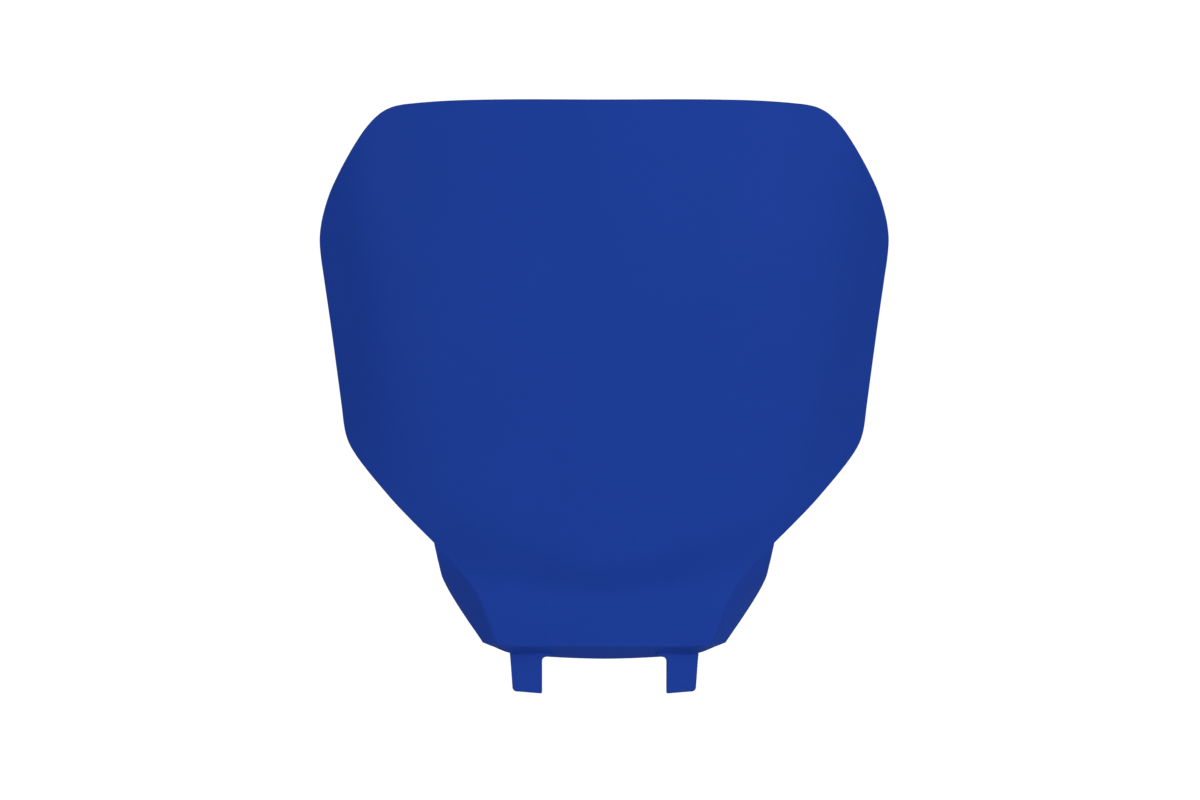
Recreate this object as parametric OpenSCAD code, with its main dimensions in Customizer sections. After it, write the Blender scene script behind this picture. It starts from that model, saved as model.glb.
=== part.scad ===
// Front number board of an off-road motorbike: one moulded shell, open at the
// back, with a rearward tongue for the top screw and two lugs at the bottom.
// Millimetres, +Z up, the front faces -Y. The origin is the middle of the top
// screw's hole.

/* [Board] */
// overall width
board_w = 241.2; // [200:0.2:280]
// wall thickness of the moulding
wall = 2.2; // [1.6:0.1:3.5]
// how strongly the panel crowns from side to side, per mm
crown = 0.0020; // [0.0005:0.0001:0.0040]
// slope of the two side wings behind the panel
wing_slope = 0.84; // [0.30:0.02:1.20]
// width of the bend between the panel and a wing
wing_bend = 5; // [2:0.5:12]
// foremost point of the panel in front of the screw
reach = 42; // [34:0.5:60]

/* [Neck] */
// how strongly the panel tucks in under the belly
tuck_slope = 0.42; // [0.10:0.01:0.80]
// how strongly the neck flares out again below the tuck
flare_slope = 0.66; // [0.30:0.02:1.00]
// radius of the outside edge round the neck
edge_r = 1.5; // [0.5:0.1:2.5]
// depth of the flaps and of the bottom strip, against the drawn depth
skirt_depth = 1.0; // [0.6:0.05:1.3]

/* [Lugs] */
// width of a lug at its root
lug_w = 13.4; // [8:0.1:20]
// thickness of a lug
lug_t = 2.4; // [1.6:0.1:4]
// clear distance between the two lugs
lug_gap = 52.2; // [30:0.1:70]
// lowest point of the lugs below the screw
lug_low = 195.5; // [186:0.5:210]
// angle of each lug to the front
lug_yaw = 10; // [0:0.5:16]

/* [Top screw tongue] */
// hole for the top screw
screw_d = 6.6; // [5.2:0.1:8.6]
// diameter of the boss round the hole
boss_d = 16; // [12:0.5:24]
// height of the boss
boss_h = 8; // [4:0.5:16]
// thickness of the tongue
tongue_t = 3.5; // [2:0.1:6]
// width of the tongue where it leaves the board
tongue_root = 76; // [40:1:110]
// width of the tongue at its round end
tongue_end = 28; // [20:1:50]
// distance between the two gussets under the tongue
gusset_gap = 24; // [10:1:24]
// thickness of a gusset
gusset_t = 2.2; // [1.5:0.1:4]
// how far down the board a gusset reaches
gusset_drop = 40; // [15:1:60]

/* [Hidden] */
$fn = 96;
kx = board_w/241.2;

// side outline: height below the screw, half width
OUT = [[-46.5,97.8],[-42,101.6],[-36,105.7],[-29.5,109.6],[-23,113],[-16,116.2],[-9,118.5],[-3,119.9],[4,120.6],
       [10,120.2],[20,118.8],[40,115.9],[60,113.2],[76,111.1],[82.5,110.3],[86,109.6],[90,108.2],[96,104.6],
       [101,100.8],[108,95],[115,88.8],[122,82],[132,71.9]];
// top edge: distance from the middle, height
TOP = [[0,55],[50,55],[62,54.75],[72,54.25],[80,53.6],[86,52.9],[90,51.9],[94,49.8],[97.8,46.5]];
// line of the bend between panel and wing: height below the screw, distance from the middle
BEND = [[-60,113.5],[-30,107.5],[0,102],[30,96.8],[60,92.5],[85,88.8],[105,83],[122,73.5],[140,60]];
// the skirt round the neck, from the notch in the outline (first) to the middle of the bottom (last):
// edge of the neck (distance from the middle, height below the screw), rim of the skirt (the same), and
// how far the rim lies behind the panel's own surface there
SKIRT = [[71.9,132,71.9,132,0],[69,134.9,70.9,136.6,0.35],[66.2,137.6,70.2,140.4,2.8],
         [61.9,142.5,68.9,146.2,7.8],[57.9,147.5,66.4,151.5,12.8],[54.4,152.5,63.5,156.4,15.8],
         [51.8,157.5,60.5,161.1,16.6],[49.6,163,57.5,165.6,15.6],[47.9,168,54.8,169.5,13.7],
         [46.9,171.5,53,172.1,11.9],[46.2,173.4,51.75,173.7,10.4],[45.2,174.5,51.3,174.15,9.5],
         [44,175.1,50.3,174.5,8.8],[42.2,175.35,46.9,175.9,7.9],[39,175.4,41.3,178.2,7.5],
         [34,175.4,35.2,179.5,8.2],[26,175.45,26.2,180.2,9.6],[13,175.5,13,180.9,11.2],[0,175.5,0,181.2,11.9]];
LAST = len(SKIRT)-1;
// heights of the mesh rows down to the notch, and stations along the skirt
ROWS = [-46.5,-44,-41,-37,-32,-26,-19,-12,-5,2,9,18,30,44,58,70,77,82.5,86,90,96,102,108,113,118,122,126,129.5,132];
SIDE_U = [0,0.5,1,1.5,2,2.5,3,4,5,6,7,8,9,11];
BASE_U = [12,13,13.5,14,14.4,14.8,15.2,15.6,16,16.4,16.8,17.2,17.6,18];
ARC = 3;
FLAT = 2;
CORNER_A = 9;
CORNER_B = 13;
CORNER_E = 15.2;
notch_v = 132;
top_v = -46.5;
inner_r = 0.6;

// smooth curve through control points [t, value]; a value may be a number or a list
function seg(c, t, i = 0) = i >= len(c)-2 || t < c[i+1][0] ? i : seg(c, t, i+1);
function rate(c, i) = (c[i+1][1]-c[i][1])/(c[i+1][0]-c[i][0]);
function slope(c, i) =
    i == 0 ? rate(c, 0) : i == len(c)-1 ? rate(c, i-1) :
    let (h0 = c[i][0]-c[i-1][0], h1 = c[i+1][0]-c[i][0]) (rate(c, i-1)*h1 + rate(c, i)*h0)/(h0+h1);
function curve(c, t) =
    let (i = seg(c, t), h = c[i+1][0]-c[i][0], f = (t-c[i][0])/h, p = c[i][1], q = c[i+1][1],
         mp = slope(c, i), mq = slope(c, i+1))
    f < 0 ? p + mp*(t-c[i][0]) : f > 1 ? q + mq*(t-c[i+1][0]) :
    (2*f*f*f-3*f*f+1)*p + (f*f*f-2*f*f+f)*h*mp + (3*f*f-2*f*f*f)*q + (f*f*f-f*f)*h*mq;
function soft(q, w) = w*(max(q/w, 0) + ln(1+exp(-abs(q/w))));
function step(a, b, t) = let (f = min(1, max(0, (t-a)/(b-a)))) f*f*(3-2*f);
function bow(x, k, c) = k*(sqrt(x*x+c*c)-c);
function unit(a) = a/norm(a);
function bez(a, b, c, f) = (1-f)*(1-f)*a + 2*f*(1-f)*b + f*f*c;
function hyp(s) = (sqrt(s*s+0.12)-sqrt(0.12))/(sqrt(1.12)-sqrt(0.12));

// depth (y) of the outer face at x, z: a belly that crowns sideways, wings bent back beside it,
// a tuck under the belly and a neck that flares out again
function face_y(x0, z) =
    let (x = abs(x0), v = -z, fade = step(40, 100, v), tuck = tuck_slope*(1-0.5*step(0, 50, x)))
    -reach + 4.2 - 0.16*(v+55) + 0.40*soft(v-25, 32)
    + tuck*soft(v-143.5+bow(x, 0.46, 19), 2.2+0.02*x)*fade
    - (tuck+flare_slope)*soft(v-154.5+0.0022*x*x, 3.2+0.05*x)*fade
    + 0.002*x*x/(1+x*x/3600)*step(118, 165, v) + crown*x*x
    + wing_slope*(1-step(75, 136, v))*soft(x-kx*curve(BEND, v), wing_bend);
function face_n(x, z) =
    let (e = 0.05, fx = (face_y(x+e, z)-face_y(x-e, z))/(2*e), fz = (face_y(x, z+e)-face_y(x, z-e))/(2*e))
    unit([-fx, 1, -fz]);

SKIRT_T = concat([for (i = [0:LAST]) let (s = SKIRT[i]) [i, [kx*s[0], s[1], kx*s[2], s[3], s[4]*skirt_depth]]],
                 [let (s = SKIRT[LAST-1]) [LAST+1, [-kx*s[0], s[1], -kx*s[2], s[3], s[4]*skirt_depth]]]);
function edge_pt(u) = let (s = curve(SKIRT_T, u)) [s[0], face_y(s[0], -s[1]), -s[1]];
function rim_pt(u) = let (s = curve(SKIRT_T, u)) [s[2], face_y(s[2], -s[3]) + s[4], -s[3]];
function along(a, u) = let (d = 0.02) a == 0 ? unit(edge_pt(u+d)-edge_pt(max(u-d, 0))) : unit(rim_pt(u+d)-rim_pt(max(u-d, 0)));

// everything that a section across the skirt at station u needs:
// 0 edge point, 1 rim point, 2 edge direction, 3 face normal, 4 straight skirt normal, 5 skirt normal at
// the edge, 6 skirt direction at the edge, 7 hollow, 8 chord, 9 tan of half the fold, 10 mitre,
// 11 fillet share, 12 obliqueness, 13 direction into the neck, 14 inner setback, 15 start of the face mesh
function sect(u) =
    let (C = edge_pt(u), R = rim_pt(u), tau = along(0, u),
         n0 = face_n(C[0], C[2]), na = unit(n0-(n0*tau)*tau), chord = R-C, w = norm(chord),
         c0 = unit(cross(chord, tau)), nb0 = c0*na > 0 ? c0 : -c0,
         h = -0.6*step(1, 4, u)*(1-step(6, 9, u)), b0 = unit(chord + 4*h*nb0),
         c1 = unit(cross(b0, tau)), nb = c1*nb0 > 0 ? c1 : -c1,
         cp = max(-1, min(1, na*nb)), tp = sqrt((1-cp)/(1+cp)), k = min(1, w/6),
         cs = norm(b0-(b0*tau)*tau), c2 = unit(cross(na, tau)), a = c2*[tau[2], 0, -tau[0]] > 0 ? c2 : -c2,
         set = (wall+inner_r*k)*tp)
    [C, R, tau, na, nb0, nb, b0, h, chord, tp, (na+nb)/(1+cp), k, cs, a, set, 0.3+1.08*set];
function mesh_start(s) = [s[0][0]+s[13][0]*s[15], s[0][2]+s[13][2]*s[15]];
START_A = mesh_start(sect(CORNER_A));
START_B = mesh_start(sect(CORNER_B));

// a section of the skirt: [outer points, inner points], from the face of the neck to the rim
function station(u) =
    u <= 0 ? [[[kx*71.9, face_y(kx*71.9, -notch_v), -notch_v]], []] :
    let (s = sect(u), C = s[0],
         m = u > CORNER_A && u < CORNER_B
             ? bez(START_A, [START_A[0]-0.5, START_B[1]+0.15], START_B, (u-CORNER_A)/(CORNER_B-CORNER_A)) : mesh_start(s),
         M = [m[0], face_y(m[0], m[1]), m[1]], av = unit(M-C),
         la = edge_r*s[11]*s[9], lb = la/s[12], ib = s[14]/s[12],
         u1 = min(0.75, (0.3+1.08*ib)/norm(s[8])), tr = along(1, u),
         flat = [for (i = [0:FLAT])
             let (f = u1+(1-u1)*i/FLAT, dp = s[8]+4*s[7]*(1-2*f)*s[4],
                  n = unit(cross(unit(dp), unit((1-f)*s[2]+f*tr))))
             [C+f*s[8]+4*s[7]*f*(1-f)*s[4], n*s[4] > 0 ? n : -n]])
    [concat([M], [for (i = [0:ARC]) bez(C+av*la, C, C+s[6]*lb, i/ARC)], [for (p = flat) p[0]]),
     concat([M+wall*face_n(m[0], m[1])],
            [for (i = [0:ARC]) bez(C+av*s[14]+wall*s[3], C+wall*s[10], C+s[6]*ib+wall*s[5], i/ARC)],
            [for (p = flat) p[0]+wall*p[1]])];

STN_U = concat(SIDE_U, BASE_U);
RAW = [for (u = STN_U) station(u)];
IA = [for (i = [0:len(STN_U)-1]) if (STN_U[i] == CORNER_A) i][0];
IE = [for (i = [0:len(STN_U)-1]) if (STN_U[i] == CORNER_E) i][0];
function run_to(n, r) = n <= IA ? 0 : run_to(n-1, r) + norm(RAW[n][0][r]-RAW[n-1][0][r]);
// round the bottom corner of the neck the wall's offset turns evenly along the outer face
function corner_in(n, r) =
    let (f = run_to(n, r)/run_to(IE, r), oa = RAW[IA][1][r]-RAW[IA][0][r], ob = RAW[IE][1][r]-RAW[IE][0][r])
    RAW[n][0][r] + unit((1-f)*unit(oa)+f*unit(ob))*((1-f)*norm(oa)+f*norm(ob))*(1+1.2*f*(1-f));
STN = [for (n = [0:len(STN_U)-1])
    n > IA && n < IE ? [RAW[n][0], [for (r = [0:len(RAW[n][0])-1]) corner_in(n, r)]] : RAW[n]];

// the face mesh: rows down to the notch, then one row for each side station
NS = len(SIDE_U)-1;
NC = len(BASE_U);
CNR = STN[NS][0][0];
COLS = [for (j = [0:NC]) j == 0 ? 0 : STN[NS+NC-j][0][0][0]/CNR[0]];
V_LOW = [for (j = [0:NC]) -STN[NS+NC-j][0][0][2]];
V_MID = [for (s = COLS) notch_v+17*(1-hyp(s))];
V_TOP = [for (s = COLS) -curve(TOP, 97.8*s)];
function half_w(v) = kx*(v <= top_v ? 97.8 : v >= notch_v ? 71.9 : curve(OUT, v));
UPPER = [for (v = ROWS) let (t = (v-top_v)/(notch_v-top_v), X = half_w(v))
    [for (j = [0:NC]) [COLS[j]*X, (1-t)*V_TOP[j]+t*V_MID[j]]]];
LOWER = [for (k = [1:NS]) let (M = STN[k][0][0], t = (-M[2]-notch_v)/(-CNR[2]-notch_v))
    [for (j = [0:NC]) [k == NS ? (j == 0 ? 0 : STN[NS+NC-j][0][0][0]) : COLS[j]*M[0], (1-t)*V_MID[j]+t*V_LOW[j]]]];
HALF = concat(UPPER, LOWER);
NR = len(HALF);
NW = 2*NC+1;
RN = len(ROWS)-1;
function at(i, j) = i*NW+j;
function flip(p, s) = [s*p[0], p[1], p[2]];
GRID_O = [for (i = [0:NR-1]) for (j = [0:NW-1])
    let (q = HALF[i][abs(j-NC)], x = (j < NC ? -1 : 1)*q[0]) [x, face_y(x, -q[1]), -q[1]]];
GRID_I = [for (i = [0:NR-1]) for (j = [0:NW-1])
    let (o = GRID_O[at(i, j)], s = j < NC ? -1 : 1, d = abs(j-NC))
    i == NR-1 ? flip(STN[NS+NC-d][1][0], s) :
    i > RN && d == NC ? flip(STN[i-RN][1][0], s) : o + wall*face_n(o[0], o[2])];

// the skirt's stations in turn: right notch, corner, middle, left corner, left notch
NT = NS+NC;
SEQ = concat([for (n = [1:NT]) [n, 1]], [for (n = [NT-1:-1:1]) [n, -1]]);
NP = ARC+FLAT+2;
G = NR*NW;
function base_id(n, s) = n <= NS ? at(RN+n, s > 0 ? NW-1 : 0) : at(NR-1, NC+s*(NC-(n-NS)));
function row_id(q, r) = r == 0 ? base_id(SEQ[q][0], SEQ[q][1]) : G+q*NP+r-1;
OUTER = concat(GRID_O, [for (q = SEQ) for (r = [1:NP]) flip(STN[q[0]][0][r], q[1])]);
INNER = concat(GRID_I, [for (q = SEQ) for (r = [1:NP]) flip(STN[q[0]][1][r], q[1])]);
N = len(OUTER);
FACES = concat(
    [for (i = [0:NR-2]) for (j = [0:NW-2]) for (f =
        let (a = at(i, j), b = at(i+1, j), c = at(i+1, j+1), d = at(i, j+1))
        j < NC ? [[a, b, c], [a, c, d]] : [[a, b, d], [b, c, d]]) f],
    [for (r = [0:NP-1]) [at(RN, NW-1), row_id(0, r), row_id(0, r+1)]],
    [for (q = [1:len(SEQ)-1]) for (r = [0:NP-1]) for (f =
        let (a = row_id(q-1, r), b = row_id(q, r), c = row_id(q, r+1), d = row_id(q-1, r+1))
        [[a, b, c], [a, c, d]]) f],
    [for (r = [0:NP-1]) [row_id(len(SEQ)-1, r), at(RN, 0), row_id(len(SEQ)-1, r+1)]]);
RIM = concat([for (j = [0:NW-1]) at(0, j)], [for (i = [1:RN]) at(i, NW-1)],
             [for (q = [0:len(SEQ)-1]) row_id(q, NP)], [for (i = [RN:-1:1]) at(i, 0)]);

module shell() {
    color([0.12, 0.235, 0.576])
    polyhedron(points = concat(OUTER, INNER), faces = concat(
        [for (f = FACES) [f[2], f[1], f[0]]],
        [for (f = FACES) [f[0]+N, f[1]+N, f[2]+N]],
        [for (k = [0:len(RIM)-1]) for (f =
            let (a = RIM[k], b = RIM[(k+1)%len(RIM)]) [[b+N, b, a], [a+N, b+N, a]]) f]));
}

// a quarter of a turn at a plate's corner, as outline points
function turn(c, r, a0, a1, n = 5) = [for (i = [0:n]) c + r*[cos(a0+(a1-a0)*i/n), sin(a0+(a1-a0)*i/n)]];

// one lug: a flat tab that hangs from the back of the bottom strip, its outer corner rounded
module lug(s) {
    in_x = lug_gap/2;
    root = rim_pt(16);
    color([0.12, 0.235, 0.576])
    scale([s, 1, 1])
    translate([in_x, root[1]-0.3, 0])
    rotate([0, 0, lug_yaw])
    rotate([90, 0, 0])
    linear_extrude(lug_t)
    polygon(concat([[0, -178.4], [0, -lug_low], [lug_w-3.6, -lug_low+0.75]],
                   turn([lug_w-2.9, -lug_low+2.75], 2, -78, -6),
                   [[lug_w-0.25, -184], [lug_w+0.05, -180.6], [lug_w+0.4, -179.4], [lug_w+0.4, -177.6]]));
}

// the tongue that carries the screw: its front edge follows the middle of the board's wall
module tongue() {
    color([0.12, 0.235, 0.576])
    translate([0, 0, -tongue_t/2])
    linear_extrude(tongue_t)
    polygon(concat([for (i = [-8:8]) let (x = tongue_root/2*i/8) [x, face_y(x, 0)+wall/2]],
                   [for (i = [1:6]) let (f = i/7) bez([tongue_root/2, face_y(tongue_root/2, 0)+wall/2],
                                                      [tongue_end/2, -reach*0.62], [tongue_end/2, 0], f)],
                   turn([0, 0], tongue_end/2, 0, 180, 24),
                   [for (i = [6:-1:1]) let (f = i/7) bez([-tongue_root/2, face_y(tongue_root/2, 0)+wall/2],
                                                         [-tongue_end/2, -reach*0.62], [-tongue_end/2, 0], f)]));
}

module boss() {
    color([0.12, 0.235, 0.576])
    translate([0, 0, -boss_h/2]) cylinder(d = boss_d, h = boss_h);
}

// a three-sided rib under the tongue
module gusset(s) {
    x = gusset_gap/2;
    color([0.12, 0.235, 0.576])
    translate([s*x-gusset_t/2, 0, 0])
    rotate([90, 0, 90])
    linear_extrude(gusset_t)
    polygon(concat([[-9, 0]], [for (i = [0:8]) let (z = -gusset_drop*i/8) [face_y(x, z)+wall/2, z]],
                   [[face_y(x, -gusset_drop)+wall+1.5, -gusset_drop]]));
}

module number_board() {
    difference() {
        union() {
            shell();
            lug(1);
            lug(-1);
            tongue();
            boss();
            gusset(1);
            gusset(-1);
        }
        translate([0, 0, -boss_h]) cylinder(d = screw_d, h = 2*boss_h);
    }
}

number_board();
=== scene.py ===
import math

import bpy
import numpy as np
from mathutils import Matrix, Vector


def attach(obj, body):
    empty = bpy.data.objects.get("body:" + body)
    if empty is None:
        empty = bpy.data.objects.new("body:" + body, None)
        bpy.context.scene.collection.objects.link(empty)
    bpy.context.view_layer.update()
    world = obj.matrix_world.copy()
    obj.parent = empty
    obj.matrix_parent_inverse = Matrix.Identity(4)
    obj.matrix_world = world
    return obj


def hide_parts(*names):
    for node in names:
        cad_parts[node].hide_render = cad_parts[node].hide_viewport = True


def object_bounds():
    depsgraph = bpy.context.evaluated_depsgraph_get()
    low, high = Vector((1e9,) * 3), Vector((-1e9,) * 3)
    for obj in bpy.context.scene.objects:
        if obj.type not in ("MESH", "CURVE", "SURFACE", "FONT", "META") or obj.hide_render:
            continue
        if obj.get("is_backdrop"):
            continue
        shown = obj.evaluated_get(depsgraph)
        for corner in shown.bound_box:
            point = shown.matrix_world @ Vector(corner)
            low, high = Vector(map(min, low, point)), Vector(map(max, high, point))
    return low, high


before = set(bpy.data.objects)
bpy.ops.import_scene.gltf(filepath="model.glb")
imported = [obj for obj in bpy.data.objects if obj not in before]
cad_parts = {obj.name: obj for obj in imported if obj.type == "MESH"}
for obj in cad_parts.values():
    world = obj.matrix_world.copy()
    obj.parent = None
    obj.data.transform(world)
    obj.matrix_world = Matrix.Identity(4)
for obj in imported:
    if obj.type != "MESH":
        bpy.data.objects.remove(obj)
CAD_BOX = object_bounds()

# ------------------------------------------------------------------ sizes, in millimetres, as in the CAD
WALL = 2.2
CROWN = 0.0020
WING_SLOPE, WING_BEND = 0.84, 5.0
REACH = 42.0
TUCK, FLARE = 0.42, 0.66
EDGE_R, INNER_R = 1.5, 0.6
LUG_W, LUG_T, LUG_GAP, LUG_LOW, LUG_YAW = 13.4, 2.4, 52.2, 195.5, 10
SCREW_D, BOSS_D, BOSS_H = 6.6, 16.0, 8.0
TONGUE_T, TONGUE_ROOT, TONGUE_END = 3.5, 76.0, 28.0
GUSSET_GAP, GUSSET_T, GUSSET_DROP = 24.0, 2.2, 40.0

OUT = [[-46.5, 97.8], [-42, 101.6], [-36, 105.7], [-29.5, 109.6], [-23, 113], [-16, 116.2], [-9, 118.5],
       [-3, 119.9], [4, 120.6], [10, 120.2], [20, 118.8], [40, 115.9], [60, 113.2], [76, 111.1], [82.5, 110.3],
       [86, 109.6], [90, 108.2], [96, 104.6], [101, 100.8], [108, 95], [115, 88.8], [122, 82], [132, 71.9]]
TOP = [[0, 55], [50, 55], [62, 54.75], [72, 54.25], [80, 53.6], [86, 52.9], [90, 51.9], [94, 49.8], [97.8, 46.5]]
BEND = [[-60, 113.5], [-30, 107.5], [0, 102], [30, 96.8], [60, 92.5], [85, 88.8], [105, 83], [122, 73.5], [140, 60]]
SKIRT = [[71.9, 132, 71.9, 132, 0], [69, 134.9, 70.9, 136.6, 0.35], [66.2, 137.6, 70.2, 140.4, 2.8],
         [61.9, 142.5, 68.9, 146.2, 7.8], [57.9, 147.5, 66.4, 151.5, 12.8], [54.4, 152.5, 63.5, 156.4, 15.8],
         [51.8, 157.5, 60.5, 161.1, 16.6], [49.6, 163, 57.5, 165.6, 15.6], [47.9, 168, 54.8, 169.5, 13.7],
         [46.9, 171.5, 53, 172.1, 11.9], [46.2, 173.4, 51.75, 173.7, 10.4], [45.2, 174.5, 51.3, 174.15, 9.5],
         [44, 175.1, 50.3, 174.5, 8.8], [42.2, 175.35, 46.9, 175.9, 7.9], [39, 175.4, 41.3, 178.2, 7.5],
         [34, 175.4, 35.2, 179.5, 8.2], [26, 175.45, 26.2, 180.2, 9.6], [13, 175.5, 13, 180.9, 11.2],
         [0, 175.5, 0, 181.2, 11.9]]


def slopes(tab):
    t = np.asarray(tab, float)
    u, v = t[:, 0], t[:, 1:]
    d = np.diff(v, axis=0) / np.diff(u)[:, None]
    h = np.diff(u)[:, None]
    m = np.vstack([d[:1], (d[:-1] * h[1:] + d[1:] * h[:-1]) / (h[:-1] + h[1:]), d[-1:]])
    return u, v, m


def curve(tab, x):
    """A smooth curve through control points, straight beyond its ends. A row's value may be several numbers."""
    u, v, m = slopes(tab)
    x = np.asarray(x, float)
    i = np.clip(np.searchsorted(u, x, side="right") - 1, 0, len(u) - 2)
    h = (u[i + 1] - u[i])[..., None]
    f = (x[..., None] - u[i][..., None]) / h
    g = np.clip(f, 0, 1)
    y = ((2 * g**3 - 3 * g**2 + 1) * v[i] + (g**3 - 2 * g**2 + g) * h * m[i]
         + (3 * g**2 - 2 * g**3) * v[i + 1] + (g**3 - g**2) * h * m[i + 1])
    y = y + np.minimum(f, 0) * h * m[i] + np.maximum(f - 1, 0) * h * m[i + 1]
    return y[..., 0] if v.shape[1] == 1 else y


def soft(q, w):
    z = np.asarray(q / w, float)
    return w * (np.maximum(z, 0) + np.log1p(np.exp(-np.abs(z))))


def step(a, b, x):
    t = np.clip((x - a) / (b - a), 0, 1)
    return t * t * (3 - 2 * t)


def bow(x, k, c):
    return k * (np.sqrt(x * x + c * c) - c)


def unit(a):
    return a / np.linalg.norm(a, axis=-1, keepdims=True)


def bez(a, b, c, f):
    return (1 - f) ** 2 * a + 2 * f * (1 - f) * b + f * f * c


def hyp(s):
    return (np.sqrt(s * s + 0.12) - math.sqrt(0.12)) / (math.sqrt(1.12) - math.sqrt(0.12))


def face_y(x, z):
    """Depth of the board's outer face."""
    x = np.abs(x)
    v = -z
    fade = step(40, 100, v)
    tuck = TUCK * (1 - 0.5 * step(0, 50, x))
    return (-REACH + 4.2 - 0.16 * (v + 55) + 0.40 * soft(v - 25, 32)
            + tuck * soft(v - 143.5 + bow(x, 0.46, 19), 2.2 + 0.02 * x) * fade
            - (tuck + FLARE) * soft(v - 154.5 + 0.0022 * x * x, 3.2 + 0.05 * x) * fade
            + 0.002 * x * x / (1 + x * x / 3600) * step(118, 165, v) + CROWN * x * x
            + WING_SLOPE * (1 - step(75, 136, v)) * soft(x - curve(BEND, v), WING_BEND))


def face_n(x, z):
    """The inward (back) normal of the outer face."""
    e = 0.05
    fx = (face_y(x + e, z) - face_y(x - e, z)) / (2 * e)
    fz = (face_y(x, z + e) - face_y(x, z - e)) / (2 * e)
    return unit(np.stack([-fx, np.ones_like(fx), -fz], -1))


# ------------------------------------------------------------------ the skirt round the neck
SK = [[float(i)] + [float(c) for c in r] for i, r in enumerate(SKIRT)]
SK.append([19.0, -SKIRT[17][0], SKIRT[17][1], -SKIRT[17][2], SKIRT[17][3], SKIRT[17][4]])


def edge_pt(u):
    s = curve(SK, u)
    return np.array([s[0], float(face_y(s[0], -s[1])), -s[1]])


def rim_pt(u):
    s = curve(SK, u)
    return np.array([s[2], float(face_y(s[2], -s[3])) + s[4], -s[3]])


def along(fn, u):
    return unit(fn(u + 0.02) - fn(max(u - 0.02, 0)))


def section(u):
    C, R, tau = edge_pt(u), rim_pt(u), along(edge_pt, u)
    na = face_n(C[0], C[2])
    na = unit(na - (na @ tau) * tau)
    chord = R - C
    w = float(np.linalg.norm(chord))
    nb0 = unit(np.cross(chord, tau))
    nb0 = nb0 if nb0 @ na > 0 else -nb0
    h = -0.6 * step(1, 4, u) * (1 - step(6, 9, u))
    b0 = unit(chord + 4 * h * nb0)
    nb = unit(np.cross(b0, tau))
    nb = nb if nb @ nb0 > 0 else -nb
    cp = float(np.clip(na @ nb, -1, 1))
    tp = math.sqrt((1 - cp) / (1 + cp))
    k = min(1.0, w / 6)
    cs = float(np.linalg.norm(b0 - (b0 @ tau) * tau))
    a = unit(np.cross(na, tau))
    a = a if a @ np.array([tau[2], 0, -tau[0]]) > 0 else -a
    back = (WALL + INNER_R * k) * tp
    return dict(C=C, R=R, tau=tau, na=na, nb0=nb0, nb=nb, b0=b0, h=h, chord=chord, w=w, tp=tp,
                mit=(na + nb) / (1 + cp), k=k, cs=cs, a=a, back=back, start=0.3 + 1.08 * back)


def mesh_start(s):
    return np.array([s["C"][0] + s["a"][0] * s["start"], s["C"][2] + s["a"][2] * s["start"]])


CORNER_A, CORNER_B, CORNER_E = 9.0, 13.0, 15.2
START_A, START_B = mesh_start(section(CORNER_A)), mesh_start(section(CORNER_B))
ARC, FLAT = 10, 7


def station(u):
    if u <= 0:
        return None
    s = section(u)
    C = s["C"]
    if CORNER_A < u < CORNER_B:
        mx, mz = bez(START_A, np.array([START_A[0] - 0.5, START_B[1] + 0.15]), START_B,
                     (u - CORNER_A) / (CORNER_B - CORNER_A))
    else:
        mx, mz = mesh_start(s)
    M = np.array([mx, float(face_y(mx, mz)), mz])
    av = unit(M - C)
    la = EDGE_R * s["k"] * s["tp"]
    lb, ib = la / s["cs"], s["back"] / s["cs"]
    outer, inner = [M], [M + WALL * face_n(mx, mz)]
    for i in range(ARC + 1):
        f = i / ARC
        outer.append(bez(C + av * la, C, C + s["b0"] * lb, f))
        inner.append(bez(C + av * s["back"] + WALL * s["na"], C + WALL * s["mit"], C + s["b0"] * ib + WALL * s["nb"], f))
    u1 = min(0.75, (0.3 + 1.08 * ib) / s["w"])
    tr = along(rim_pt, u)
    for i in range(FLAT + 1):
        f = u1 + (1 - u1) * i / FLAT
        p = C + s["chord"] * f + 4 * s["h"] * f * (1 - f) * s["nb0"]
        dp = s["chord"] + 4 * s["h"] * (1 - 2 * f) * s["nb0"]
        n = unit(np.cross(unit(dp), unit((1 - f) * s["tau"] + f * tr)))
        outer.append(p)
        inner.append(p + WALL * (n if n @ s["nb0"] > 0 else -n))
    return [np.array(outer), np.array(inner)]


def relax(sts, us):
    """Round the bottom corner of the neck the wall's offset turns evenly along the outer face."""
    ia = max(i for i, u in enumerate(us) if u <= CORNER_A + 1e-9)
    ib = min(i for i, u in enumerate(us) if u >= CORNER_E - 1e-9)
    O = np.array([sts[i][0] for i in range(ia, ib + 1)])
    I = np.array([sts[i][1] for i in range(ia, ib + 1)])
    L = np.concatenate([np.zeros((1, O.shape[1])), np.cumsum(np.linalg.norm(np.diff(O, axis=0), axis=2), axis=0)])
    f = (L / L[-1])[..., None]
    oa, ob = I[0] - O[0], I[-1] - O[-1]
    la = np.linalg.norm(oa, axis=1)[None, :, None]
    lb = np.linalg.norm(ob, axis=1)[None, :, None]
    d = unit((1 - f) * oa / la + f * ob / lb)
    made = O + d * ((1 - f) * la + f * lb) * (1 + 1.2 * f * (1 - f))
    for k, i in enumerate(range(ia, ib + 1)):
        sts[i][1] = made[k]


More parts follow.
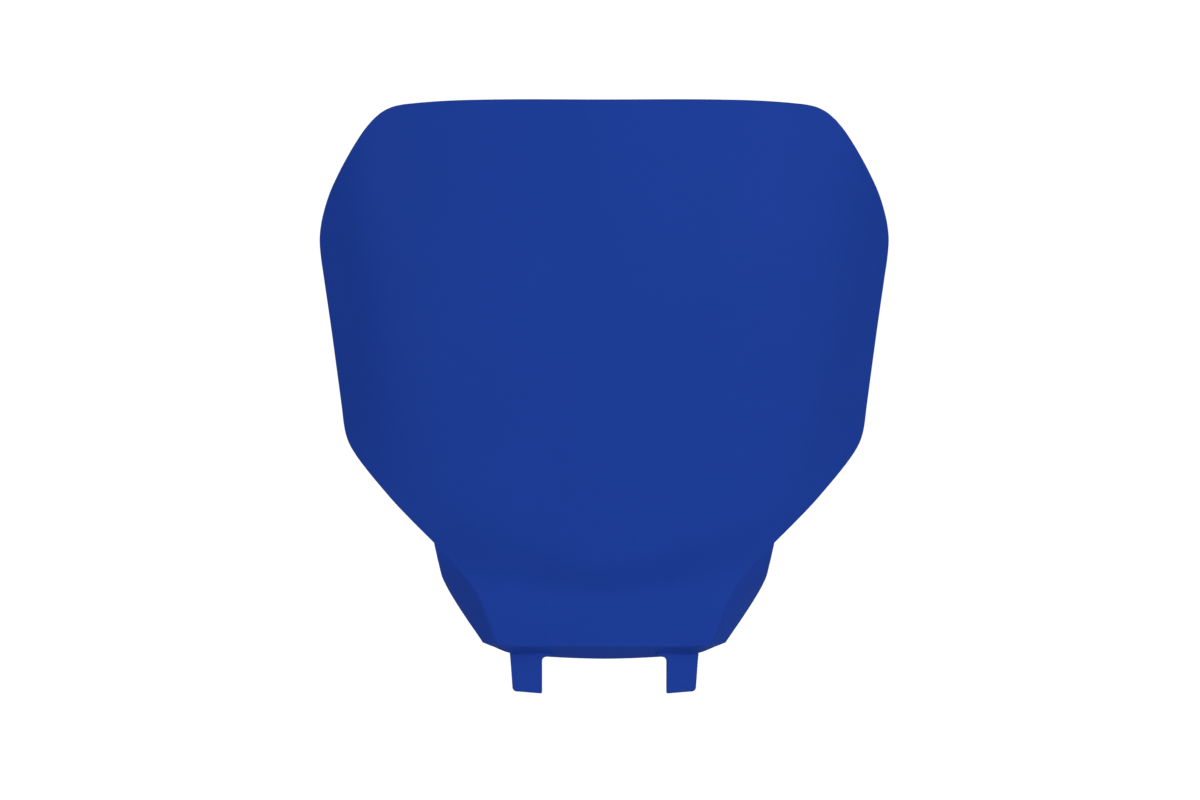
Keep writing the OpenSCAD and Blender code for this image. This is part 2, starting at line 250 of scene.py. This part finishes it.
def step_back(P, inner, r):
    """Each rim point's way back along its skin: short of the point behind it, and not across its neighbour's."""
    T = np.roll(P, -1, 0) - P
    size = np.linalg.norm(T, axis=1, keepdims=True)
    tg = unit(T + np.roll(T, 1, 0))
    way = inner - P
    way = way - np.sum(way * tg, axis=1, keepdims=True) * tg
    room = np.linalg.norm(way, axis=1, keepdims=True)
    way = way / room
    r = np.minimum(r, 0.8 * room)
    for _ in range(60):
        S = T + np.roll(r * way, -1, 0) - r * way
        tight = np.sum(S * T, axis=1, keepdims=True) < 0.35 * size ** 2
        if not tight.any():
            break
        r = np.where(tight | np.roll(tight, 1, 0), 0.85 * r, r)
    for _ in range(80):
        r = np.minimum(r, np.minimum(np.roll(r, -1, 0) + 0.25 * size, np.roll(r + 0.25 * size, 1, 0)))
    return r, way


def arc_ring(P, back, wall, r, t):
    """One ring of the rounding between the skin (t = 0) and the wall's end face (t = 1)."""
    a, b, c = (1 - t) ** 2, math.sqrt(2) * t * (1 - t), t * t
    return P + r * (a * back + c * wall) / (a + b + c)


# ------------------------------------------------------------------ the shell
def build_shell():
    """Vertices (mm) and faces of the whole shell, its rims rounded."""
    rows = []
    knots = [-46.5, -45.0, -43.5, -40, -30, 122, 132]
    gaps = [1.5, 0.75, 1.0, 1.6, 2.0, 1.25]
    for a, b, g in zip(knots, knots[1:], gaps):
        n = max(1, int(round((b - a) / g)))
        rows += [a + (b - a) * i / n for i in range(n)]
    rows.append(132.0)
    us = ([0.0, 0.5, 0.75] + [1 + 0.2 * i for i in range(40)]
          + [9 + 0.4 * i for i in range(6)])
    ub = [11 + 0.4 * i for i in range(6)] + [13.1 + 0.1 * i for i in range(50)]
    ub[-1] = 18.0
    every = us + ub[1:]
    sts = [station(u) for u in every]
    relax(sts, every)
    st, sb = sts[:len(us)], sts[len(us) - 1:]
    corner = sb[0][0][0]
    s = (np.array([q[0][0][0] for q in sb]) / corner[0])[::-1].copy()
    s[0] = 0.0
    NC = len(s) - 1
    vB = np.array([-q[0][0][2] for q in sb])[::-1]
    vA = 132 + 17 * (1 - hyp(s))
    wide = s.copy()             # the panel's last columns leave room for the rounded rim
    wide[NC - 4:NC] = [0.9625, 0.97, 0.9775, 0.9855]
    grid = []
    for v in rows:
        t = (v + 46.5) / 178.5
        X = 97.8 if v <= -46.4 else 71.9 if v >= 132 else float(curve(OUT, v))
        sv = s + (wide - s) * (1 - step(98, 128, v))
        grid.append(np.stack([sv * X, (t - 1) * curve(TOP, 97.8 * sv) + t * (132 + 17 * (1 - hyp(sv)))], -1))
    RN = len(rows) - 1
    for q in st[1:]:
        M = q[0][0]
        t = (-M[2] - 132) / (-corner[2] - 132)
        grid.append(np.stack([s * M[0], (1 - t) * vA + t * vB], -1))
    g = np.array(grid)
    g[-1, :, 0] = np.array([q[0][0][0] for q in sb])[::-1]
    g[-1, 0, 0] = 0
    full = np.concatenate([g[:, :0:-1] * np.array([-1, 1]), g], 1)
    nr, nc = full.shape[:2]
    idx = np.arange(nr * nc).reshape(nr, nc)
    X, Z = full[..., 0], -full[..., 1]
    O = np.stack([X, face_y(X, Z), Z], -1)
    I = O + WALL * face_n(X, Z)
    for k, q in enumerate(sb):
        for sg in (1, -1):
            I[nr - 1, NC + sg * (NC - k)] = q[1][0] * np.array([sg, 1, 1.0])
    for k, q in enumerate(st[1:], 1):
        for sg in (1, -1):
            I[RN + k, NC + sg * NC] = q[1][0] * np.array([sg, 1, 1.0])
    V, W, F = list(O.reshape(-1, 3)), list(I.reshape(-1, 3)), []
    for i in range(nr - 1):
        for j in range(nc - 1):
            F.append((idx[i, j], idx[i + 1, j], idx[i + 1, j + 1], idx[i, j + 1]))
    seq = ([(st[k], idx[RN + k, nc - 1], 1) for k in range(1, len(us))]
           + [(sb[k], idx[nr - 1, NC + NC - k], 1) for k in range(1, len(sb))]
           + [(sb[k], idx[nr - 1, NC - (NC - k)], -1) for k in range(len(sb) - 2, 0, -1)]
           + [(st[k], idx[RN + k, 0], -1) for k in range(len(us) - 1, 0, -1)])
    prev, rim, behind = None, [idx[RN, nc - 1]], [idx[RN, nc - 2]]
    for q, base, sg in seq:
        mir = np.array([sg, 1, 1.0])
        ids = [base]
        for o, i_ in zip(q[0][1:], q[1][1:]):
            ids.append(len(V))
            V.append(o * mir)
            W.append(i_ * mir)
        for r in range(len(ids) - 1):
            if prev is None:
                F.append((idx[RN, nc - 1], ids[r], ids[r + 1]))
            else:
                F.append((prev[r], ids[r], ids[r + 1], prev[r + 1]))
        prev = ids
        rim.append(ids[-1])
        behind.append(ids[-2])
    for r in range(len(prev) - 1):
        F.append((prev[r], idx[RN, 0], prev[r + 1]))
    rim.append(idx[RN, 0])
    behind.append(idx[RN, 1])
    loop = (list(idx[0, :]) + [idx[i, nc - 1] for i in range(1, RN)] + rim
            + [idx[i, 0] for i in range(RN - 1, 0, -1)])
    near = ([idx[1, 1]] + list(idx[1, 1:-1]) + [idx[1, nc - 2]] + [idx[i, nc - 2] for i in range(1, RN)] + behind
            + [idx[i, 1] for i in range(RN - 1, 0, -1)])
    V, W, loop, near = np.array(V), np.array(W), np.array(loop), np.array(near)
    N = len(V)
    # round the rim: the last points of both faces step back, and rings of an arc close the wall
    P, Q = V[loop], W[loop]
    n_in = unit(Q - P)
    tight = [V[idx[RN, nc - 1]], V[idx[RN, 0]]] + [rim_pt(12.2) * np.array([sg, 1, 1.0]) for sg in (1, -1)]
    k = (0.25 + 0.75 * step(0, 7, np.min([np.linalg.norm(P - c, axis=1) for c in tight], axis=0)))[:, None]
    ro, wo = step_back(P, V[near], 0.75 * k)
    ri, wi = step_back(Q, W[near], 0.5 * k)
    V[loop], W[loop] = P + ro * wo, Q + ri * wi
    rings = ([arc_ring(P, wo, n_in, ro, t) for t in (0.25, 0.5, 0.75, 1)]
             + [arc_ring(Q, wi, -n_in, ri, t) for t in (1, 2 / 3, 1 / 3)])
    allv = [V, W] + rings
    faces = [tuple(int(c) for c in f) for f in F] + [tuple(int(c) + N for c in f[::-1]) for f in F]
    L = len(loop)
    ring_ids = [loop] + [2 * N + L * i + np.arange(L) for i in range(len(rings))] + [loop + N]
    for A, B in zip(ring_ids, ring_ids[1:]):
        for i in range(L):
            j = (i + 1) % L
            faces.append((int(A[i]), int(A[j]), int(B[j]), int(B[i])))
    return np.vstack(allv), faces


# ------------------------------------------------------------------ small solids: plates, strips, turned parts
class Solid:
    def __init__(self):
        self.v, self.f = [], []

    def add(self, verts, faces):
        k = len(self.v)
        self.v += [tuple(float(c) for c in p) for p in verts]
        self.f += [tuple(i + k for i in f) for f in faces]

    def loops(self, loops, cap=True, wrap=True):
        """Closed rings of the same length, skinned one to the next, with flat ends."""
        n = len(loops[0])
        verts = [p for ring in loops for p in ring]
        faces = []
        for a in range(len(loops) - 1):
            for i in range(n if wrap else n - 1):
                j = (i + 1) % n
                faces.append((a * n + i, a * n + j, (a + 1) * n + j, (a + 1) * n + i))
        if cap:
            faces.append(tuple(range(n))[::-1])
            faces.append(tuple((len(loops) - 1) * n + i for i in range(n)))
        self.add(verts, faces)


def inset(P, d):
    """A closed plan outline (n x 2, counter-clockwise) moved inwards by d."""
    a, b = unit(P - np.roll(P, 1, 0)), unit(np.roll(P, -1, 0) - P)
    na = np.stack([-a[:, 1], a[:, 0]], -1)
    nb = np.stack([-b[:, 1], b[:, 0]], -1)
    m = na + nb
    return P + d * m / np.maximum((m * na).sum(1, keepdims=True), 0.35)


def plate(solid, outline, t, r, put, n=4):
    """A plate of thickness t with rounded edges; put(x, y, w) places plan point x, y at height w."""
    P = np.asarray(outline, float)
    loops = []
    for i in range(n + 1):
        a = math.radians(90 * i / n)
        Q = inset(P, r * (1 - math.sin(a)))
        loops.append([put(x, y, r * (1 - math.cos(a))) for x, y in Q])
    for i in range(n, -1, -1):
        a = math.radians(90 * i / n)
        Q = inset(P, r * (1 - math.sin(a)))
        loops.append([put(x, y, t - r * (1 - math.cos(a))) for x, y in Q])
    solid.loops(loops)


def fillet(solid, corners, A, B, r, n=6):
    """A concave fillet along a line of corner points, between directions A and B (unit, one for each point)."""
    loops = []
    for c, a, b, q in zip(corners, A, B, r):
        c, a, b = np.array(c, float), unit(np.array(a, float)), unit(np.array(b, float))
        ring = [c - 0.35 * (a + b)]
        ring.append(c + q * a - 0.35 * b)
        for i in range(n + 1):
            f = math.radians(90 * i / n)
            ring.append(c + q * (a * (1 - math.sin(f)) + b * (1 - math.cos(f))))
        ring.append(c + q * b - 0.35 * a)
        loops.append(ring)
    solid.loops(loops)


def arc2(cx, cy, r, a0, a1, n):
    return [(cx + r * math.cos(math.radians(a0 + (a1 - a0) * i / n)),
             cy + r * math.sin(math.radians(a0 + (a1 - a0) * i / n))) for i in range(n + 1)]


def dense(points, gap):
    out = []
    n = len(points)
    for i in range(n):
        a, b = np.array(points[i], float), np.array(points[(i + 1) % n], float)
        k = max(1, int(np.linalg.norm(b - a) / gap))
        out += [tuple(a + (b - a) * j / k) for j in range(k)]
    return out


def add_lugs(solid):
    root = rim_pt(16.0)
    yaw = math.radians(LUG_YAW)
    low = -LUG_LOW
    # plan outline, counter-clockwise as seen from the front: down the inner side, along the bottom, up the outer side
    line = [(-4.6, -178.9), (-3.0, -179.75), (-1.7, -180.1)] + arc2(-1.7, -181.8, 1.7, 90, 0, 8)[1:]
    line += [(0.0, low + 0.7), (0.12, low + 0.25), (0.45, low + 0.03), (0.8, low + 0.02), (LUG_W - 3.6, low + 0.75)]
    line += arc2(LUG_W - 2.9, low + 2.75, 2.0, -78, -6, 8) + [(LUG_W - 0.25, -184.0)]
    line += [(LUG_W + 0.02, -180.6), (LUG_W + 0.12, -179.6), (LUG_W + 0.2, -178.6), (LUG_W + 0.2, -177.6), (-3.4, -178.4)]
    for sg in (1, -1):
        def put(x, z, w):
            lx, ly = x, w - LUG_T
            gx = LUG_GAP / 2 + lx * math.cos(yaw) - ly * math.sin(yaw)
            gy = root[1] - 0.3 + lx * math.sin(yaw) + ly * math.cos(yaw)
            return (sg * gx, gy, z)
        plate(solid, line, LUG_T, 0.45, put)


def tongue_outline(z):
    half, end = TONGUE_ROOT / 2, TONGUE_END / 2
    y0 = float(face_y(half, z)) + WALL / 2
    side = [bez(np.array([half, y0]), np.array([end, -REACH * 0.62]), np.array([end, 0.0]), f)
            for f in np.linspace(0, 1, 17)]
    root = [(x, float(face_y(x, z)) + WALL / 2) for x in np.linspace(-half, half, 33)]
    return (root[:-1] + [tuple(p) for p in side[:-1]] + arc2(0, 0, end, 0, 180, 40)
            + [(-p[0], p[1]) for p in side[-2:0:-1]])


def add_tongue(solid):
    P = tongue_outline(0.0)
    plate_with_hole(solid, P)
    # the boss round the screw's hole, turned: top and bottom rims rounded, the bore's mouths chamfered
    R, r, h, c = BOSS_D / 2, SCREW_D / 2, BOSS_H / 2, 0.4
    e, rf = 0.6, 1.2
    top = TONGUE_T / 2
    half = [(r, 0.0), (r, h - c), (r + c, h)]
    half += [(R - e + e * math.sin(a), h - e + e * math.cos(a)) for a in np.linspace(0, math.pi / 2, 6)]
    half += [(R + rf * (1 - math.cos(a)), top + rf * (1 - math.sin(a))) for a in np.linspace(0, math.pi / 2, 7)]
    half += [(R + rf, top - 0.4), (R - 1, top - 0.4), (R - 1, 0.0)]
    ring = half[:-1] + [(x, -y) for x, y in half[::-1]][1:-1]
    n = 72
    loops = []
    for i in range(n):
        a = 2 * math.pi * i / n
        loops.append([(q[0] * math.cos(a), q[0] * math.sin(a), q[1]) for q in ring])
    m = len(ring)
    verts = [p for L in loops for p in L]
    faces = []
    for i in range(n):
        j = (i + 1) % n
        for k in range(m):
            l = (k + 1) % m
            faces.append((i * m + k, j * m + k, j * m + l, i * m + l))
    solid.add(verts, faces)
    # fillets between tongue and board, above and below
    for s in (1, -1):
        end = TONGUE_ROOT / 2 - 3.6
        xs = np.linspace(-end, end, 41)
        cs, A, B, R_ = [], [], [], []
        for x in xs:
            z = s * TONGUE_T / 2
            n_in = face_n(np.float64(x), np.float64(z))
            y = float(face_y(x, z)) + WALL / n_in[1]
            cs.append((x, y, z))
            A.append((0, 1, 0))
            B.append((0, 0, s))
            R_.append(1.8 * float(step(-1, 6, end - abs(x))) + 0.2)
        fillet(solid, cs, A, B, R_)


def plate_with_hole(solid, outline):
    """The tongue's plate: rounded outer edge, open round the boss so that the bore stays clear."""
    P = np.asarray(outline, float)
    r, t, n = 0.7, TONGUE_T, 4
    hole_r = BOSS_D / 2 - 2.0
    # an inner ring with one point for each outline point, by angle round the boss, or on the middle line in front of it
    inner = []
    for x, y in P:
        if y > -hole_r * 2.2:
            a = math.atan2(y, x) if y > 0 else math.atan2(y * 0.8, x)
            inner.append((hole_r * math.cos(a), hole_r * math.sin(a)))
        else:
            inner.append(None)
    top, low = [], []
    loops = []
    for i in range(n + 1):
        a = math.radians(90 * i / n)
        loops.append([(x, y, t / 2 - r * (1 - math.sin(a))) for x, y in inset(P, r * (1 - math.cos(a)))][:])
    loops = loops[::-1]
    lower = [[(x, y, -z) for x, y, z in L] for L in loops[::-1]]
    # rings from the top's flat face over the rounded edge to the bottom's flat face
    rings = []
    for i in range(n + 1):
        a = math.radians(90 * i / n)
        rings.append([(x, y, t / 2 - r * (1 - math.cos(a))) for x, y in inset(P, r * (1 - math.sin(a)))])
    for i in range(n, -1, -1):
        a = math.radians(90 * i / n)
        rings.append([(x, y, -t / 2 + r * (1 - math.cos(a))) for x, y in inset(P, r * (1 - math.sin(a)))])
    solid.loops(rings, cap=False)
    hole = [(hole_r * math.cos(2 * math.pi * i / 48), hole_r * math.sin(2 * math.pi * i / 48)) for i in range(48)]
    solid.holes.append((rings[0], [(x, y, t / 2) for x, y in hole], 1))
    solid.holes.append((rings[-1], [(x, y, -t / 2) for x, y in hole], -1))
    solid.loops([[(x, y, t / 2) for x, y in hole], [(x, y, -t / 2) for x, y in hole]], cap=False)


def add_gussets(solid):
    for s in (1, -1):
        x0 = s * GUSSET_GAP / 2 - GUSSET_T / 2
        zs = np.linspace(-1.2, -GUSSET_DROP, 25)
        front = [(float(face_y(s * GUSSET_GAP / 2, z)) + WALL / 2, z) for z in zs]
        yb = float(face_y(s * GUSSET_GAP / 2, -GUSSET_DROP)) + WALL + 1.5
        back = [(yb + 0.3, -GUSSET_DROP), (yb + 1.2, -GUSSET_DROP + 0.7)]
        a, b = np.array(back[-1]), np.array([-9.0, -1.2])
        mid = [tuple(bez(a, (a + b) / 2 + np.array([-1.2, 1.2]), b, f)) for f in np.linspace(0.08, 1, 14)]
        P = front + back + mid
        P = P[::-1] if area2(P) < 0 else P
        plate(solid, P, GUSSET_T, 0.4, lambda y, z, w: (x0 + w, y, z))
        # fillets: each side of the plate against the board and against the tongue
        for side in (1, -1):
            xs = s * GUSSET_GAP / 2 + side * GUSSET_T / 2
            cs, A, B, R_ = [], [], [], []
            for z in np.linspace(-TONGUE_T / 2, -GUSSET_DROP + 0.6, 25):
                n_in = face_n(np.float64(xs), np.float64(z))
                cs.append((xs, float(face_y(xs, z)) + WALL / n_in[1], z))
                A.append((side, 0, 0))
                B.append((0, 1, 0))
                R_.append(0.9 * float(step(-0.3, 4, GUSSET_DROP + z)) + 0.1)
            fillet(solid, cs, A, B, R_)
            cs, A, B, R_ = [], [], [], []
            y1 = float(face_y(xs, -TONGUE_T / 2)) + WALL
            for y in np.linspace(y1, -10.5, 20):
                cs.append((xs, y, -TONGUE_T / 2))
                A.append((side, 0, 0))
                B.append((0, 0, -1))
                R_.append(0.9 * float(step(0, 3, -9.5 - y)) + 0.1)
            fillet(solid, cs, A, B, R_)


def area2(P):
    P = np.asarray(P, float)
    Q = np.roll(P, -1, 0)
    return 0.5 * float((P[:, 0] * Q[:, 1] - Q[:, 0] * P[:, 1]).sum())


import bmesh  # noqa: E402


def to_object(name, parts):
    """One mesh object, in metres, from closed pieces whose normals are made to point outwards."""
    bm = bmesh.new()
    for verts, faces, holes in parts:
        one = bmesh.new()
        vs = [one.verts.new([c / 1000 for c in p]) for p in verts]
        for f in faces:
            try:
                one.faces.new([vs[i] for i in f])
            except ValueError:
                pass
        for outer, inner, sgn in holes:
            eo, loops = [], []
            for ring in (outer, inner):
                rv = [one.verts.new([c / 1000 for c in p]) for p in ring]
                eo += [one.edges.new((rv[i], rv[(i + 1) % len(rv)])) for i in range(len(rv))]
            bmesh.ops.triangle_fill(one, edges=eo, use_beauty=True, normal=(0, 0, sgn))
        bmesh.ops.remove_doubles(one, verts=one.verts, dist=2e-6)
        bmesh.ops.recalc_face_normals(one, faces=one.faces)
        mesh = bpy.data.meshes.new("part")
        one.to_mesh(mesh)
        one.free()
        bm.from_mesh(mesh)
        bpy.data.meshes.remove(mesh)
    mesh = bpy.data.meshes.new(name)
    bm.to_mesh(mesh)
    bm.free()
    mesh.polygons.foreach_set("use_smooth", [True] * len(mesh.polygons))
    obj = bpy.data.objects.new(name, mesh)
    bpy.context.scene.collection.objects.link(obj)
    wn = obj.modifiers.new("normals", "WEIGHTED_NORMAL")
    wn.mode = "FACE_AREA"
    wn.weight = 50
    wn.keep_sharp = False
    return obj


parts = []
sv, sf = build_shell()
parts.append((sv, sf, []))
for fn in (add_lugs, add_gussets):
    s = Solid()
    s.holes = []
    fn(s)
    parts.append((s.v, s.f, s.holes))
s = Solid()
s.holes = []
add_tongue(s)
parts.append((s.v, s.f, s.holes))
board = to_object("board", parts)
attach(board, "root")
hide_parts("number_board")
print("board triangles", sum(len(p.vertices) - 2 for p in board.data.polygons))


# ------------------------------------------------------------------ material: satin moulded plastic
def moulded_plastic():
    m = bpy.data.materials.new("moulded_blue")
    m.use_nodes = True
    nt = m.node_tree
    for n in list(nt.nodes):
        nt.nodes.remove(n)
    new = nt.nodes.new
    link = nt.links.new
    out = new("ShaderNodeOutputMaterial")
    b = new("ShaderNodeBsdfPrincipled")
    link(b.outputs["BSDF"], out.inputs["Surface"])
    b.inputs["IOR"].default_value = 1.49
    b.inputs["Specular IOR Level"].default_value = 0.05
    tc = new("ShaderNodeTexCoord")
    # colour: a faint cloudiness of the pigment along the flow of the plastic
    mp = new("ShaderNodeMapping")
    mp.inputs["Scale"].default_value = (9, 14, 5)
    link(tc.outputs["Object"], mp.inputs["Vector"])
    n1 = new("ShaderNodeTexNoise")
    n1.inputs["Scale"].default_value = 2.2
    n1.inputs["Detail"].default_value = 5
    n1.inputs["Roughness"].default_value = 0.55
    link(mp.outputs["Vector"], n1.inputs["Vector"])
    r1 = new("ShaderNodeValToRGB")
    r1.color_ramp.elements[0].position = 0.30
    r1.color_ramp.elements[0].color = (0.0086, 0.0395, 0.272, 1)
    r1.color_ramp.elements[1].position = 0.72
    r1.color_ramp.elements[1].color = (0.0098, 0.0420, 0.289, 1)
    link(n1.outputs["Fac"], r1.inputs["Fac"])
    link(r1.outputs["Color"], b.inputs["Base Color"])
    # roughness: satin, with a little handling variation
    n2 = new("ShaderNodeTexNoise")
    n2.inputs["Scale"].default_value = 60
    n2.inputs["Detail"].default_value = 6
    link(tc.outputs["Object"], n2.inputs["Vector"])
    r2 = new("ShaderNodeMapRange")
    r2.inputs["To Min"].default_value = 0.56
    r2.inputs["To Max"].default_value = 0.68
    link(n2.outputs["Fac"], r2.inputs["Value"])
    link(r2.outputs["Result"], b.inputs["Roughness"])
    # surface: fine grain of the mould, and a long, very shallow unevenness
    n3 = new("ShaderNodeTexNoise")
    n3.inputs["Scale"].default_value = 1700
    n3.inputs["Detail"].default_value = 3
    link(tc.outputs["Object"], n3.inputs["Vector"])
    bp = new("ShaderNodeBump")
    bp.inputs["Strength"].default_value = 0.5
    bp.inputs["Distance"].default_value = 0.00008
    link(n3.outputs["Fac"], bp.inputs["Height"])
    n4 = new("ShaderNodeTexNoise")
    n4.inputs["Scale"].default_value = 38
    n4.inputs["Detail"].default_value = 2
    link(tc.outputs["Object"], n4.inputs["Vector"])
    bp2 = new("ShaderNodeBump")
    bp2.inputs["Strength"].default_value = 0.25
    bp2.inputs["Distance"].default_value = 0.0003
    link(n4.outputs["Fac"], bp2.inputs["Height"])
    link(bp.outputs["Normal"], bp2.inputs["Normal"])
    link(bp2.outputs["Normal"], b.inputs["Normal"])
    return m


board.data.materials.append(moulded_plastic())

# ------------------------------------------------------------------ floor, backdrop, light
def plain(name, rgb, rough=0.9):
    m = bpy.data.materials.new(name)
    m.use_nodes = True
    b = m.node_tree.nodes["Principled BSDF"]
    b.inputs["Base Color"].default_value = (*rgb, 1)
    b.inputs["Roughness"].default_value = rough
    b.inputs["Specular IOR Level"].default_value = 0.1
    return m


def quad(name, pts, mat):
    mesh = bpy.data.meshes.new(name)
    mesh.from_pydata(pts, [], [(0, 1, 2, 3)])
    o = bpy.data.objects.new(name, mesh)
    bpy.context.scene.collection.objects.link(o)
    mesh.materials.append(mat)
    o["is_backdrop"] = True
    return o


FLOOR_Z = -0.90
quad("floor", [(-4, -4, FLOOR_Z), (4, -4, FLOOR_Z), (4, 4, FLOOR_Z), (-4, 4, FLOOR_Z)], plain("floor_paint", (0.86, 0.86, 0.87)))

world = bpy.data.worlds.new("studio")
bpy.context.scene.world = world
world.use_nodes = True
wt = world.node_tree
for n in list(wt.nodes):
    wt.nodes.remove(n)
# the room as a light: bright on the front side, dim at the sides, a little from above and below
wtc = wt.nodes.new("ShaderNodeTexCoord")
sep = wt.nodes.new("ShaderNodeSeparateXYZ")
wt.links.new(wtc.outputs["Generated"], sep.inputs["Vector"])
half = wt.nodes.new("ShaderNodeMapRange")
half.inputs["From Min"].default_value = -1
half.inputs["From Max"].default_value = 1
wt.links.new(sep.outputs["Y"], half.inputs["Value"])
ramp = wt.nodes.new("ShaderNodeValToRGB")
ramp.color_ramp.interpolation = "EASE"
stops = [(0.0, 0.52), (0.28, 0.46), (0.50, 0.20), (0.76, 0.16), (1.0, 0.45)]
while len(ramp.color_ramp.elements) < len(stops):
    ramp.color_ramp.elements.new(0.5)
for el, (p, g) in zip(ramp.color_ramp.elements, stops):
    el.position = p
    el.color = (g, g, g, 1)
wt.links.new(half.outputs["Result"], ramp.inputs["Fac"])
room = wt.nodes.new("ShaderNodeBackground")
wt.links.new(ramp.outputs["Color"], room.inputs["Color"])
white = wt.nodes.new("ShaderNodeBackground")
white.inputs["Color"].default_value = (1, 1, 1, 1)
white.inputs["Strength"].default_value = 1.04
seen = wt.nodes.new("ShaderNodeLightPath")
pick = wt.nodes.new("ShaderNodeMixShader")
wt.links.new(seen.outputs["Is Camera Ray"], pick.inputs["Fac"])
wt.links.new(room.outputs["Background"], pick.inputs[1])
wt.links.new(white.outputs["Background"], pick.inputs[2])
wout = wt.nodes.new("ShaderNodeOutputWorld")
wt.links.new(pick.outputs["Shader"], wout.inputs["Surface"])


def softbox(name, at, to, w, h, watts):
    d = bpy.data.lights.new(name, "AREA")
    d.shape = "RECTANGLE"
    d.size, d.size_y = w, h
    d.energy = watts
    o = bpy.data.objects.new(name, d)
    bpy.context.scene.collection.objects.link(o)
    o.location = at
    v = np.array(to, float) - np.array(at, float)
    from mathutils import Vector
    o.rotation_euler = Vector(v).to_track_quat("-Z", "Y").to_euler()
    return o


AIM = (0, -0.02, -0.06)


def around(az, el, d):
    """A place at azimuth az (0 is the camera's side, + towards +X), elevation el and distance d from AIM."""
    a, e = math.radians(az), math.radians(el)
    return (AIM[0] + d * math.sin(a) * math.cos(e), AIM[1] - d * math.cos(a) * math.cos(e), AIM[2] + d * math.sin(e))


softbox("key", around(46, 12, 4.0), AIM, 3.6, 3.6, 88)
softbox("fill", around(-46, 12, 4.0), AIM, 3.6, 3.6, 63.5)
softbox("rear", around(158, 24, 4.0), AIM, 3.0, 3.0, 52)

# ------------------------------------------------------------------ camera: straight on, long lens
PX = 2.371e3            # photograph's pixels per metre of the object
cam = bpy.data.cameras.new("camera")
cam.sensor_width = 36.0
cam.lens = 800.0
cam_o = bpy.data.objects.new("camera", cam)
bpy.context.scene.collection.objects.link(cam_o)
dist = 1200 / PX * cam.lens / 36.0
cam_o.location = ((600 - 604.2) / PX, -0.020 - dist, (230 - 400) / PX)
cam_o.rotation_euler = (math.radians(90), 0, 0)
cam.clip_start, cam.clip_end = 0.1, 100
cam.dof.use_dof = False
bpy.context.scene.camera = cam_o

bpy.context.scene.view_settings.view_transform = "Standard"
bpy.context.scene.view_settings.look = "None"
bpy.context.scene.view_settings.exposure = 0
bpy.context.scene.view_settings.gamma = 1


def corners(b):
    return [[float(c) for c in p] for p in b]


{"cad": corners(CAD_BOX), "visual": corners(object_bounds())}
